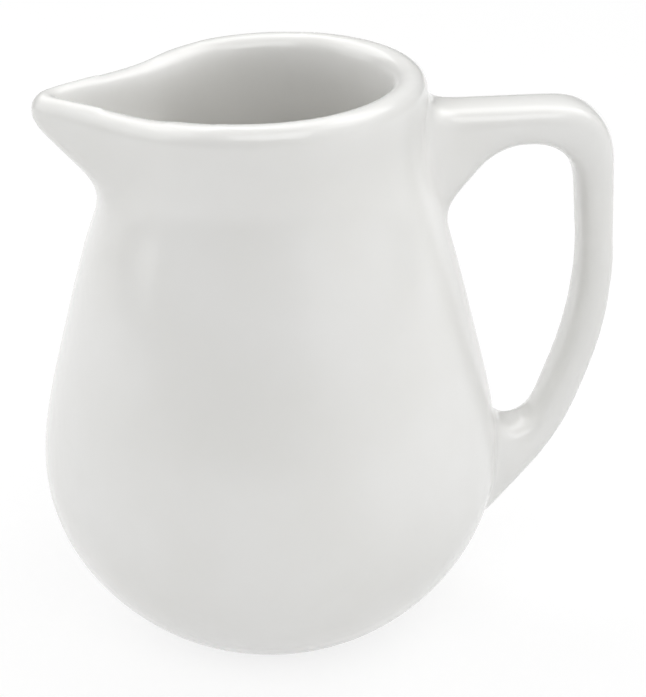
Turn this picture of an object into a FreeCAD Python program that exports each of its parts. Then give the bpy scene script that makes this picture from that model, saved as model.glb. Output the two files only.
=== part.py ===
import FreeCAD, Part

import math
import os

from FreeCAD import Vector

# Porcelain creamer jug: one moulded, glazed and fired piece, in millimetres.
# The origin is on the jug's axis, in the plane it stands on. +Z is up, the handle is on +X, the spout on -X.

# ------------------------------------------------------------------ driving sizes
# Body, outside. Radii are half the body's width at their heights.
foot_radius = 15.3           # outer edge of the ring it stands on
foot_ring_width = 3.2
foot_edge_round = 0.8
recess_depth = 1.5           # hollow underneath, inside the foot ring
recess_round = 0.9
heel_radius = 23.9           # just above the foot
heel_height = 6.0
belly_radius = 32.3          # widest part
belly_height = 20.7
shoulder_radius = 29.8       # where the body draws in
shoulder_height = 43.0
collar_radius = 25.2
collar_below_lip = 20.0
neck_radius = 21.95          # narrowest part, under the lip
neck_below_lip = 7.0

# Rolled lip.
lip_height = 80.0            # middle of the roll
lip_radius = 19.55           # middle of the roll, seen from above
lip_thickness = 4.8
lip_run = 1.5                # straight run of the wall below the roll
rim_slope = 2.0              # degrees, the rim rises towards the handle

# Inside.
wall = 4.1
floor_thickness = 3.8        # between the hollow underneath and the inside
floor_flat_radius = 7.0      # flat middle of the inside

# Spout.
spout_reach = 31.8           # axis to the tip
spout_tip_radius = 3.6       # outside of the tip, seen from above
spout_wall = 3.9             # wall at the tip
spout_start = 16.0           # the throat leaves the body this far below the lip
spout_sag = 0.75             # how far the rim drops on each side of the tip
spout_sag_angle = 0.6        # radians, where it drops most

# Handle: a level bar, a rounded corner and a bowed grip. Corners are where the straight runs would meet.
handle_width = 9.4
handle_reach = 49.2          # axis to the outside of the grip
handle_below_lip = 2.4       # upper face of the bar, below the middle of the lip
bar_thickness = 5.9
grip_thickness = 4.75
corner_in = 1.2              # the grip leans in this much at its top
corner_thickness = 5.1       # of the grip there
corner_round = 7.6           # outside, between the bar and the grip
hole_corner_round = 6.6      # inside of the same corner
bow_height = 46.0            # where the grip turns back towards the belly
bow_out = 0.3                # and how far out that turn lies
bow_round = 50.0
low_bend_height = 26.6       # second turn of the grip's outside
low_bend_round = 36.0
root_height = 13.9           # where the outside meets the belly
root_in = 0.6
root_round = 8.0
haunch_out = 31.9            # axis to where the slope from the neck would meet the bar's underside
haunch_slope = 51.0          # degrees
haunch_round = 8.0
crotch_height = 24.0         # lowest corner of the hole
crotch_out = 4.4             # from the belly
crotch_round = 4.0
handle_edge_round = 1.9
handle_root_round = 2.4      # where the handle runs into the wall

os.makedirs("parts", exist_ok=True)


# ------------------------------------------------------------------ wall profile
# Two smooth curves, radius against height: the outside and the inside of the wall.
# Both end straight up at the lip, where the roll joins them.
def smooth_curve(stations):
    curve = Part.BSplineCurve()
    curve.interpolate([Vector(radius, 0, height) for radius, height in stations])
    return curve


collar_height = lip_height - collar_below_lip
neck_height = lip_height - neck_below_lip
lip_outside = lip_radius + lip_thickness / 2
lip_inside = lip_radius - lip_thickness / 2
inner_floor = recess_depth + floor_thickness
heel_inside_height = inner_floor + 4.5
belly_inside_height = belly_height + 1.2

outer_profile = smooth_curve([
    (foot_radius, 0),
    (heel_radius, heel_height),
    (belly_radius, belly_height),
    (shoulder_radius, shoulder_height),
    (collar_radius, collar_height),
    (neck_radius, neck_height),
    (lip_outside, lip_height - lip_run),
    (lip_outside, lip_height),
])
inner_profile = smooth_curve([
    (floor_flat_radius, inner_floor),
    (floor_flat_radius + lip_run, inner_floor),
    (heel_radius - wall, heel_inside_height),
    (belly_radius - wall, belly_inside_height),
    (shoulder_radius - wall, shoulder_height),
    (collar_radius - wall, collar_height),
    (neck_radius - wall, neck_height - lip_run),
    (lip_inside, lip_height - lip_run),
    (lip_inside, lip_height),
])


# ------------------------------------------------------------------ spout
# Seen from above, a level of the wall is a circle round the axis and a small tip circle ahead of it,
# joined by straight flanks that touch both.
def outline_radius(angle, body, reach, tip):
    if reach <= body:
        return body
    ahead = reach - tip
    flank = math.acos((body - tip) / ahead)
    tip_end = math.atan2(tip * math.sin(flank), ahead + tip * math.cos(flank))
    if abs(angle) < tip_end:
        return ahead * math.cos(angle) + math.sqrt(tip ** 2 - (ahead * math.sin(angle)) ** 2)
    if abs(angle) < flank:
        return body / math.cos(flank - abs(angle))
    return body


# The points of a level crowd towards the tip, where the curve is tightest. Angles are from the spout.
level_points = 48
crowding = 0.72
level_angles = []
for k in range(level_points):
    turn = 2 * math.pi * (k / level_points + 0.25)
    angle = turn - crowding * math.sin(turn)
    level_angles.append((angle + math.pi) % (2 * math.pi) - math.pi)


def spout_pull(height):
    """How much of the spout there is at a height: 0 where the throat starts, 1 at the lip."""
    rise = (height - lip_height + spout_start) / spout_start
    rise = min(max(rise, 0), 1) ** 1.25
    return rise ** 2 * (3 - 2 * rise)


def level_radii(body, height, edge, reach, tip):
    """Radii of a level: a plain circle low down, drawn out to the given reach and tip at the lip."""
    pull = spout_pull(height)
    blunt = body * 0.75
    return [
        outline_radius(angle, body, body + (reach - edge) * pull, blunt + (tip - blunt) * pull)
        for angle in level_angles
    ]


def outside_radii(body, height):
    return level_radii(body, height, lip_outside, spout_reach, spout_tip_radius)


def inside_radii(body, height):
    reach = spout_reach - spout_wall
    tip = spout_tip_radius - spout_wall * 0.6
    return level_radii(body, height, lip_inside, reach, tip)


# ------------------------------------------------------------------ skin
# One surface up the outside, over the rolled lip and down the inside: closed curves round the axis,
# stacked along the wall's section. travelled is the distance along the section, which spaces them.
wall_steps = 18
lip_steps = 8
levels = []
sections = []
travelled = []


def add_level(radii, height, raised=0):
    """A closed curve round the axis, lifted by the rim's slope and lowered by the sag beside the tip."""
    slope = math.tan(math.radians(rim_slope)) * (height / lip_height) ** 3
    points = []
    for radius, angle in zip(radii, level_angles):
        x = -radius * math.cos(angle)
        y = radius * math.sin(angle)
        aside = (angle / spout_sag_angle) ** 2
        sag = spout_sag * spout_pull(height) * aside * math.exp(1 - aside)
        points.append(Vector(x, y, height + raised + slope * x - sag))
    curve = Part.BSplineCurve()
    steps = [k / level_points for k in range(level_points + 1)]
    curve.interpolate(Points=points, PeriodicFlag=True, Parameters=steps)
    section = Vector(radii[0], 0, height + raised)
    travelled.append(travelled[-1] + section.distanceToPoint(sections[-1]) if sections else 0.0)
    sections.append(section)
    levels.append(curve)


for k in range(wall_steps + 1):
    station = outer_profile.value(outer_profile.LastParameter * k / wall_steps)
    add_level(outside_radii(station.x, station.z), station.z)
outer_rim = outside_radii(lip_outside, lip_height)
inner_rim = inside_radii(lip_inside, lip_height)
for k in range(1, lip_steps):
    roll = math.pi * k / lip_steps
    radii = [(a + b) / 2 + (a - b) / 2 * math.cos(roll) for a, b in zip(outer_rim, inner_rim)]
    add_level(radii, lip_height, lip_thickness / 2 * math.sin(roll))
for k in range(wall_steps, -1, -1):
    station = inner_profile.value(inner_profile.LastParameter * k / wall_steps)
    add_level(inside_radii(station.x, station.z), station.z)

columns = []
for across in zip(*[curve.getPoles() for curve in levels]):
    column = Part.BSplineCurve()
    column.interpolate(Points=list(across), Parameters=travelled)
    columns.append(column)
skin = Part.BSplineSurface()
skin.buildFromPolesMultsKnots(
    [column.getPoles() for column in columns],
    levels[0].getMultiplicities(),
    columns[0].getMultiplicities(),
    levels[0].getKnots(),
    columns[0].getKnots(),
    True,
    False,
    levels[0].Degree,
    columns[0].Degree,
)
ends = [Part.Face(Part.Wire(curve.toShape())) for curve in (levels[0], levels[-1])]
shell = Part.makeShell([skin.toShape()] + ends)
shell.sewShape()
body = Part.makeSolid(shell)


# ------------------------------------------------------------------ foot
recess_radius = foot_radius - foot_ring_width
recess = Part.makeCone(recess_radius, recess_radius - recess_depth, recess_depth)
recess_rim = [edge for edge in recess.Edges if edge.BoundBox.ZMin > recess_depth / 2]
body = body.cut(recess.makeFillet(recess_round, recess_rim))
foot_edges = [edge for edge in body.Edges if edge.BoundBox.ZMax < 0.01]
body = body.makeFillet(foot_edge_round, foot_edges)


# ------------------------------------------------------------------ handle
# An ear cut from an even plate in the XZ plane: a level bar from under the lip, a rounded corner and
# a bowed grip that runs back into the belly.
def rounded_line(start, corners, end):
    """Edges from start to end round the corners, each corner given as x, z and its round."""
    edges = []
    here = Vector(start[0], 0, start[1])
    following = corners[1:] + [(end[0], end[1], 0)]
    for (x, z, round_radius), (next_x, next_z, _) in zip(corners, following):
        corner = Vector(x, 0, z)
        back = (here - corner).normalize()
        ahead = (Vector(next_x, 0, next_z) - corner).normalize()
        half = back.getAngle(ahead) / 2
        begin = corner + back * (round_radius / math.tan(half))
        middle = corner + (back + ahead).normalize() * (round_radius / math.sin(half) - round_radius)
        leave = corner + ahead * (round_radius / math.tan(half))
        edges.append(Part.makeLine(here, begin))
        edges.append(Part.Arc(begin, middle, leave).toShape())
        here = leave
    edges.append(Part.makeLine(here, Vector(end[0], 0, end[1])))
    return edges


bar_top = lip_height - handle_below_lip
bar_under = bar_top - bar_thickness
neck_middle = neck_radius - wall / 2
outer_start = (neck_middle / 2, bar_top)
outer_end = (belly_radius - 2.5 * wall, root_height - wall)
inner_start = (neck_middle, bar_under - (haunch_out - neck_middle) * math.tan(math.radians(haunch_slope)))
inner_end = (belly_radius - 1.3 * wall, crotch_height + 2.8 * wall)

# Below the bow the grip's two outlines run side by side, the inner one down to the crotch.
bow = Vector(handle_reach + bow_out, 0, bow_height)
crotch = Vector(belly_radius + crotch_out, 0, crotch_height)
across = bow - crotch
lean = math.atan2(across.x, across.z) - math.asin(grip_thickness / across.Length)
run = Vector(math.sin(lean), 0, math.cos(lean))
inner_bow = crotch + run * across.dot(run)
low_bend = bow - run * ((bow_height - low_bend_height) / run.z)

outer_line = rounded_line(outer_start, [
    (handle_reach - corner_in, bar_top, corner_round),
    (bow.x, bow.z, bow_round),
    (low_bend.x, low_bend.z, low_bend_round),
    (belly_radius - root_in, root_height, root_round),
], outer_end)
inner_line = rounded_line(inner_start, [
    (haunch_out, bar_under, haunch_round),
    (handle_reach - corner_in - corner_thickness, bar_under, hole_corner_round),
    (inner_bow.x, inner_bow.z, bow_round),
    (crotch.x, crotch.z, crotch_round),
], inner_end)

# The ear is closed off inside the jug, square to its two outlines.
closing = Part.makePolygon([Vector(x, 0, z) for x, z in (
    outer_start,
    (outer_start[0], (bar_top + inner_start[1]) / 2),
    inner_start,
)]).Edges + Part.makePolygon([Vector(x, 0, z) for x, z in (
    outer_end,
    (belly_radius / 2, (outer_end[1] + inner_end[1]) / 2),
    inner_end,
)]).Edges
outline = Part.Wire(Part.__sortEdges__(outer_line + inner_line + closing))
handle = Part.Face(outline).extrude(Vector(0, handle_width, 0))
handle.translate(Vector(0, -handle_width / 2, 0))
long_edges = []
for edge in handle.Edges:
    middle = edge.valueAt((edge.FirstParameter + edge.LastParameter) / 2)
    on_plate = Part.Vertex(middle.x, 0, middle.z)
    aside = abs(middle.y) > handle_width / 4
    if aside and min(on_plate.distToShape(line)[0] for line in outer_line + inner_line) < 0.01:
        long_edges.append(edge)
handle = handle.makeFillet(handle_edge_round, long_edges)

# Its ends stop in the middle of the wall.
core_profile = smooth_curve([
    (floor_flat_radius, inner_floor),
    (heel_radius - wall / 2, heel_inside_height),
    (belly_radius - wall / 2, belly_inside_height),
    (shoulder_radius - wall / 2, shoulder_height),
    (collar_radius - wall / 2, collar_height),
    (neck_radius - wall / 2, neck_height - lip_run),
    (lip_radius, lip_height - lip_run),
    (lip_radius, lip_height + lip_thickness),
])
core_ends = Part.makePolygon([
    Vector(lip_radius, 0, lip_height + lip_thickness),
    Vector(0, 0, lip_height + lip_thickness),
    Vector(0, 0, inner_floor),
    Vector(floor_flat_radius, 0, inner_floor),
])
core = Part.Face(Part.Wire(Part.__sortEdges__([core_profile.toShape()] + core_ends.Edges)))
handle = handle.cut(core.revolve(Vector(0, 0, 0), Vector(0, 0, 1), 360))

# ------------------------------------------------------------------ one piece
jug = body.fuse(handle).Solids[0]
skin_face = max(jug.Faces, key=lambda face: face.Area)
root_edges = []
for edge in jug.Edges:
    beside = jug.ancestorsOfType(edge, Part.Face)
    on_skin = [face for face in beside if face.isSame(skin_face)]
    if edge.BoundBox.XMin > 0 and on_skin and len(beside) > len(on_skin):
        root_edges.append(edge)
jug = jug.makeFillet(handle_root_round, root_edges).Solids[0]
jug.exportStep("parts/jug.step")
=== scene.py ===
import math

import bpy
from mathutils import Matrix, Vector


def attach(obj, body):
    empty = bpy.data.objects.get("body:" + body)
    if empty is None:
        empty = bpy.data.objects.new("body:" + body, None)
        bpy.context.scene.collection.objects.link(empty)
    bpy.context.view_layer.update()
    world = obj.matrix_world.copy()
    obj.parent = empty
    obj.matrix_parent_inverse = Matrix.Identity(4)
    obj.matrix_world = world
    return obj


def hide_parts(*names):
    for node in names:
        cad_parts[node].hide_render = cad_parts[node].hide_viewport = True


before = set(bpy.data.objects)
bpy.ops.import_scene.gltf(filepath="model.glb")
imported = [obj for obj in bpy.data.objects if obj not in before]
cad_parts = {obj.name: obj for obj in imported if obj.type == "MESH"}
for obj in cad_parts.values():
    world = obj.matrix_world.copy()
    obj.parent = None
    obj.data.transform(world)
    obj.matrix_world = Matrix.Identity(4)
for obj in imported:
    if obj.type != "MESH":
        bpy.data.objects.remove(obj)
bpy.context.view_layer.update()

# ------------------------------------------------------------------ jug: its skin
# A small creamer of white hotel porcelain, slip-cast in one piece with its handle and spout.
# The wet clay is sponged and the glaze is thick, so its edges are melted, most of all where the
# handle is gripped and where the spout is drawn out of the lip.
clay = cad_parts["jug"]
mesh_step = 0.0007
sponged_all_over = 3
sponged_handle = 44
sponged_spout = 13
sponge_pull = 0.5
sponge_fade = 0.004
handle_starts = 0.019
lip_above = 0.072
handle_lean = 0.4
spout_starts = 0.012
spout_above = 0.066

jug = bpy.data.objects.new("glazed_jug", clay.data.copy())
bpy.context.scene.collection.objects.link(jug)
even = jug.modifiers.new("even skin", "REMESH")
even.mode = "VOXEL"
even.voxel_size = mesh_step
even.use_smooth_shade = True


def keep_result(thing):
    """Replace the object's mesh with what its modifiers make of it."""
    graph = bpy.context.evaluated_depsgraph_get()
    result = bpy.data.meshes.new_from_object(thing.evaluated_get(graph))
    thing.modifiers.clear()
    thing.data = result


def past(value, start):
    """0 up to the start, 1 once the sponge's fade is over."""
    return min(max((value - start) / sponge_fade, 0), 1)


def whole(point):
    """The sponge goes over the whole jug."""
    return 1


def on_handle(point):
    """The handle with its roots, keeping off the lip beside it."""
    lip_side = handle_lean * max(point.z - lip_above, 0)
    return past(point.x - lip_side, handle_starts)


def on_spout(point):
    """The spout's end of the lip and neck."""
    return past(-point.x, spout_starts) * past(point.z, spout_above)


def sponge(thing, name, strokes, amount_at):
    """Melt the edges of the skin, at each point by the amount that amount_at gives."""
    group = thing.vertex_groups.new(name=name)
    for corner in thing.data.vertices:
        amount = amount_at(corner.co)
        if amount > 0:
            group.add([corner.index], amount, "REPLACE")
    melt = thing.modifiers.new(name, "SMOOTH")
    melt.factor = sponge_pull
    melt.iterations = strokes
    melt.vertex_group = name


keep_result(jug)
sponge(jug, "all over", sponged_all_over, whole)
sponge(jug, "handle", sponged_handle, on_handle)
sponge(jug, "spout", sponged_spout, on_spout)
keep_result(jug)
jug.vertex_groups.clear()
jug.data.shade_smooth()

# ------------------------------------------------------------------ jug: its glaze
# The fired body is dipped in clear glaze and stands on its foot ring in the kiln, which is wiped
# bare first. Inside, painted shade makes the colour greyer and warmer with depth.
glaze_white = (0.855, 0.853, 0.838, 1)
glaze_thick = (0.825, 0.822, 0.800, 1)
# Painted shade for the inside of the jug, greyer and warmer than the glaze.
inside_painted_shade = (0.76, 0.745, 0.708, 1)
bare_body = (0.80, 0.775, 0.73, 1)
glaze_ior = 1.5
cloud_size = 0.022
cloud_detail = 3
cloud_edges = (0.35, 0.65)
sheen_size = 0.011
sheen_detail = 4
sheen_edges = (0.3, 0.7)
gloss_range = (0.14, 0.20)
bare_roughness = 0.85
# Heights between which the painted shade inside fades out towards the lip.
painted_shade_bottom = 0.052
painted_shade_top = 0.080
inside_reach = (0.031, 0.0316)
turned_in = (-0.5, 0.3)
wiped_height = (0.00088, 0.0011)
peel_size = 0.0045
peel_height = 0.00006
peel_strength = 0.6
grit_size = 0.0003
grit_height = 0.00004
relief_detail = 2

glaze = bpy.data.materials.new("white glaze")
glaze.use_nodes = True
nodes = glaze.node_tree.nodes
links = glaze.node_tree.links
shader = nodes["Principled BSDF"]
shader.inputs["IOR"].default_value = glaze_ior
place = nodes.new("ShaderNodeTexCoord")
split = nodes.new("ShaderNodeSeparateXYZ")
links.new(place.outputs["Object"], split.inputs["Vector"])


def lumps(size, detail):
    """Noise through the clay whose lumps are about this size in metres."""
    made = nodes.new("ShaderNodeTexNoise")
    made.inputs["Scale"].default_value = 1 / size
    made.inputs["Detail"].default_value = detail
    links.new(place.outputs["Object"], made.inputs["Vector"])
    return made.outputs["Fac"]


def carried(value, edges, levels):
    """The value carried from between its two edges to between two levels, and held past them."""
    made = nodes.new("ShaderNodeMapRange")
    made.inputs["From Min"].default_value = edges[0]
    made.inputs["From Max"].default_value = edges[1]
    made.inputs["To Min"].default_value = levels[0]
    made.inputs["To Max"].default_value = levels[1]
    links.new(value, made.inputs["Value"])
    return made.outputs["Result"]


def tint(amount, first, second):
    """A colour, or a node's colour, turned into a second colour by an amount."""
    made = nodes.new("ShaderNodeMix")
    made.data_type = "RGBA"
    links.new(amount, made.inputs["Factor"])
    if isinstance(first, tuple):
        made.inputs[6].default_value = first
    else:
        links.new(first, made.inputs[6])
    made.inputs[7].default_value = second
    return made.outputs[2]


def sized(vector, work):
    """One step of vector work on a vector."""
    made = nodes.new("ShaderNodeVectorMath")
    made.operation = work
    links.new(vector, made.inputs[0])
    return made


def product(first, second):
    """Two masks laid over each other."""
    made = nodes.new("ShaderNodeMath")
    made.operation = "MULTIPLY"
    links.new(first, made.inputs[0])
    links.new(second, made.inputs[1])
    return made.outputs["Value"]


# The glaze lies a little thicker here and there.
clouds = carried(lumps(cloud_size, cloud_detail), cloud_edges, (0, 1))
coat = tint(clouds, glaze_white, glaze_thick)

# Painted shade inside: greyer and warmer where the skin is turned towards the middle line, near it,
# and below the lip.
level = nodes.new("ShaderNodeCombineXYZ")
links.new(split.outputs["X"], level.inputs["X"])
links.new(split.outputs["Y"], level.inputs["Y"])
outward = sized(level.outputs["Vector"], "NORMALIZE")
reach = sized(level.outputs["Vector"], "LENGTH")
facing = sized(outward.outputs["Vector"], "DOT_PRODUCT")
links.new(place.outputs["Normal"], facing.inputs[1])
inward = carried(facing.outputs["Value"], turned_in, (1, 0))
near = carried(reach.outputs["Value"], inside_reach, (1, 0))
deep = carried(split.outputs["Z"], (painted_shade_bottom, painted_shade_top), (1, 0))
painted_shade_inside = product(product(inward, near), deep)
coat = tint(painted_shade_inside, coat, inside_painted_shade)

# The foot ring is bare, dry porcelain up to where the glaze was wiped off.
bare = carried(split.outputs["Z"], wiped_height, (1, 0))
links.new(tint(bare, coat, bare_body), shader.inputs["Base Color"])

# The glaze is glossy, a little less in places, and the bare ring is matte.
dryness = nodes.new("ShaderNodeMix")
links.new(bare, dryness.inputs["Factor"])
links.new(carried(lumps(sheen_size, sheen_detail), sheen_edges, gloss_range), dryness.inputs[2])
dryness.inputs[3].default_value = bare_roughness
links.new(dryness.outputs[0], shader.inputs["Roughness"])

# Fired glaze keeps a faint orange peel, and the bare ring a fine grit.
peel = nodes.new("ShaderNodeBump")
peel.inputs["Distance"].default_value = peel_height
peel.inputs["Strength"].default_value = peel_strength
links.new(lumps(peel_size, relief_detail), peel.inputs["Height"])
grit = nodes.new("ShaderNodeBump")
grit.inputs["Distance"].default_value = grit_height
links.new(bare, grit.inputs["Strength"])
links.new(lumps(grit_size, relief_detail), grit.inputs["Height"])
links.new(peel.outputs["Normal"], grit.inputs["Normal"])
links.new(grit.outputs["Normal"], shader.inputs["Normal"])

jug.data.materials.clear()
jug.data.materials.append(glaze)
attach(jug, "root")
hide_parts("jug")

# ------------------------------------------------------------------ floor
# A matte white sweep of card, large enough to fill the view. It is seen as nearly plain white,
# but it keeps the soft shade that the jug throws where it stands.
floor_size = 3.0
card_white = (0.92, 0.92, 0.92, 1)
seen_white = (1.0, 1.0, 1.0, 1)
share_of_plain_white = 0.84
bpy.ops.mesh.primitive_plane_add(size=floor_size)
floor = bpy.context.active_object
floor.name = "floor"
card = bpy.data.materials.new("white card")
card.use_nodes = True
nodes = card.node_tree.nodes
links = card.node_tree.links
matte = nodes["Principled BSDF"]
matte.inputs["Base Color"].default_value = card_white
matte.inputs["Roughness"].default_value = 1.0
matte.inputs["Specular IOR Level"].default_value = 0.0
shaded = nodes.new("ShaderNodeBsdfDiffuse")
shaded.inputs["Color"].default_value = seen_white
glow = nodes.new("ShaderNodeEmission")
glow.inputs["Strength"].default_value = 1.0
both = nodes.new("ShaderNodeMixShader")
both.inputs["Fac"].default_value = share_of_plain_white
rays = nodes.new("ShaderNodeLightPath")
seen = nodes.new("ShaderNodeMath")
seen.operation = "MAXIMUM"
links.new(rays.outputs["Is Camera Ray"], seen.inputs[0])
links.new(rays.outputs["Is Glossy Ray"], seen.inputs[1])
pick = nodes.new("ShaderNodeMixShader")
links.new(shaded.outputs["BSDF"], both.inputs[1])
links.new(glow.outputs["Emission"], both.inputs[2])
links.new(seen.outputs["Value"], pick.inputs["Fac"])
links.new(matte.outputs["BSDF"], pick.inputs[1])
links.new(both.outputs["Shader"], pick.inputs[2])
links.new(pick.outputs["Shader"], nodes["Material Output"].inputs["Surface"])
floor.data.materials.append(card)

# ------------------------------------------------------------------ light
# Broad white panels stand round the jug as in a small light tent. Those at the right and in front
# are the widest, with narrower ones at the left and behind. Beyond them the room gives no light,
# and past the edge of the card it is seen as white.
world = bpy.data.worlds.new("white room")
bpy.context.scene.world = world
world.use_nodes = True
nodes = world.node_tree.nodes
links = world.node_tree.links
room = nodes["Background"]
room.inputs["Color"].default_value = (1, 1, 1, 1)
room.inputs["Strength"].default_value = 0.0
white = nodes.new("ShaderNodeBackground")
white.inputs["Color"].default_value = (1, 1, 1, 1)
white.inputs["Strength"].default_value = 1.0
rays = nodes.new("ShaderNodeLightPath")
pick = nodes.new("ShaderNodeMixShader")
links.new(rays.outputs["Is Camera Ray"], pick.inputs["Fac"])
links.new(room.outputs["Background"], pick.inputs[1])
links.new(white.outputs["Background"], pick.inputs[2])
links.new(pick.outputs["Shader"], nodes["World Output"].inputs["Surface"])

panel_distance = 0.8
jug_middle = Vector((0, 0, 0.04))
straight_in_front = -95


def panel(name, turn, lift, wide, tall, watts):
    """A lamp panel aimed at the jug, so many degrees to the right of the front and up from level."""
    lamp = bpy.data.lights.new(name, "AREA")
    lamp.shape = "RECTANGLE"
    lamp.size = wide
    lamp.size_y = tall
    lamp.energy = watts
    around = math.radians(turn + straight_in_front)
    above = math.radians(lift)
    side = Vector((math.cos(around), math.sin(around), 0))
    away = math.cos(above) * side + math.sin(above) * Vector((0, 0, 1))
    stand = bpy.data.objects.new(name, lamp)
    stand.location = jug_middle + panel_distance * away
    stand.rotation_euler = (-away).to_track_quat("-Z", "Y").to_euler()
    bpy.context.scene.collection.objects.link(stand)


panel("front panel", turn=0, lift=50, wide=0.7, tall=0.45, watts=2.6)
panel("right panel", turn=52, lift=30, wide=1.0, tall=0.9, watts=1.7)
panel("high right panel", turn=95, lift=56, wide=0.6, tall=0.5, watts=2.1)
panel("back panel", turn=150, lift=62, wide=0.9, tall=0.4, watts=1.9)
panel("back left panel", turn=222, lift=46, wide=0.6, tall=0.5, watts=1.9)
panel("left panel", turn=268, lift=28, wide=0.55, tall=0.7, watts=2.35)

# ------------------------------------------------------------------ camera
# Just to the left of square on to the handle, looking down over the rim.
camera_place = (-0.02355, -0.26922, 0.17026)
camera_aim = (0.00766, -0.00028, 0.04126)
camera_roll = -0.21
camera = bpy.data.objects.new("camera", bpy.data.cameras.new("camera"))
camera.location = camera_place
roll = Matrix.Rotation(math.radians(camera_roll), 3, "Z")
turned = (Vector(camera_aim) - camera.location).to_track_quat("-Z", "Y").to_matrix() @ roll
camera.rotation_euler = turned.to_euler()
camera.data.lens = 107.85
camera.data.sensor_width = 36.0
camera.data.clip_start = 0.01
bpy.context.scene.collection.objects.link(camera)
bpy.context.scene.camera = camera

bpy.context.scene.view_settings.view_transform = "Standard"
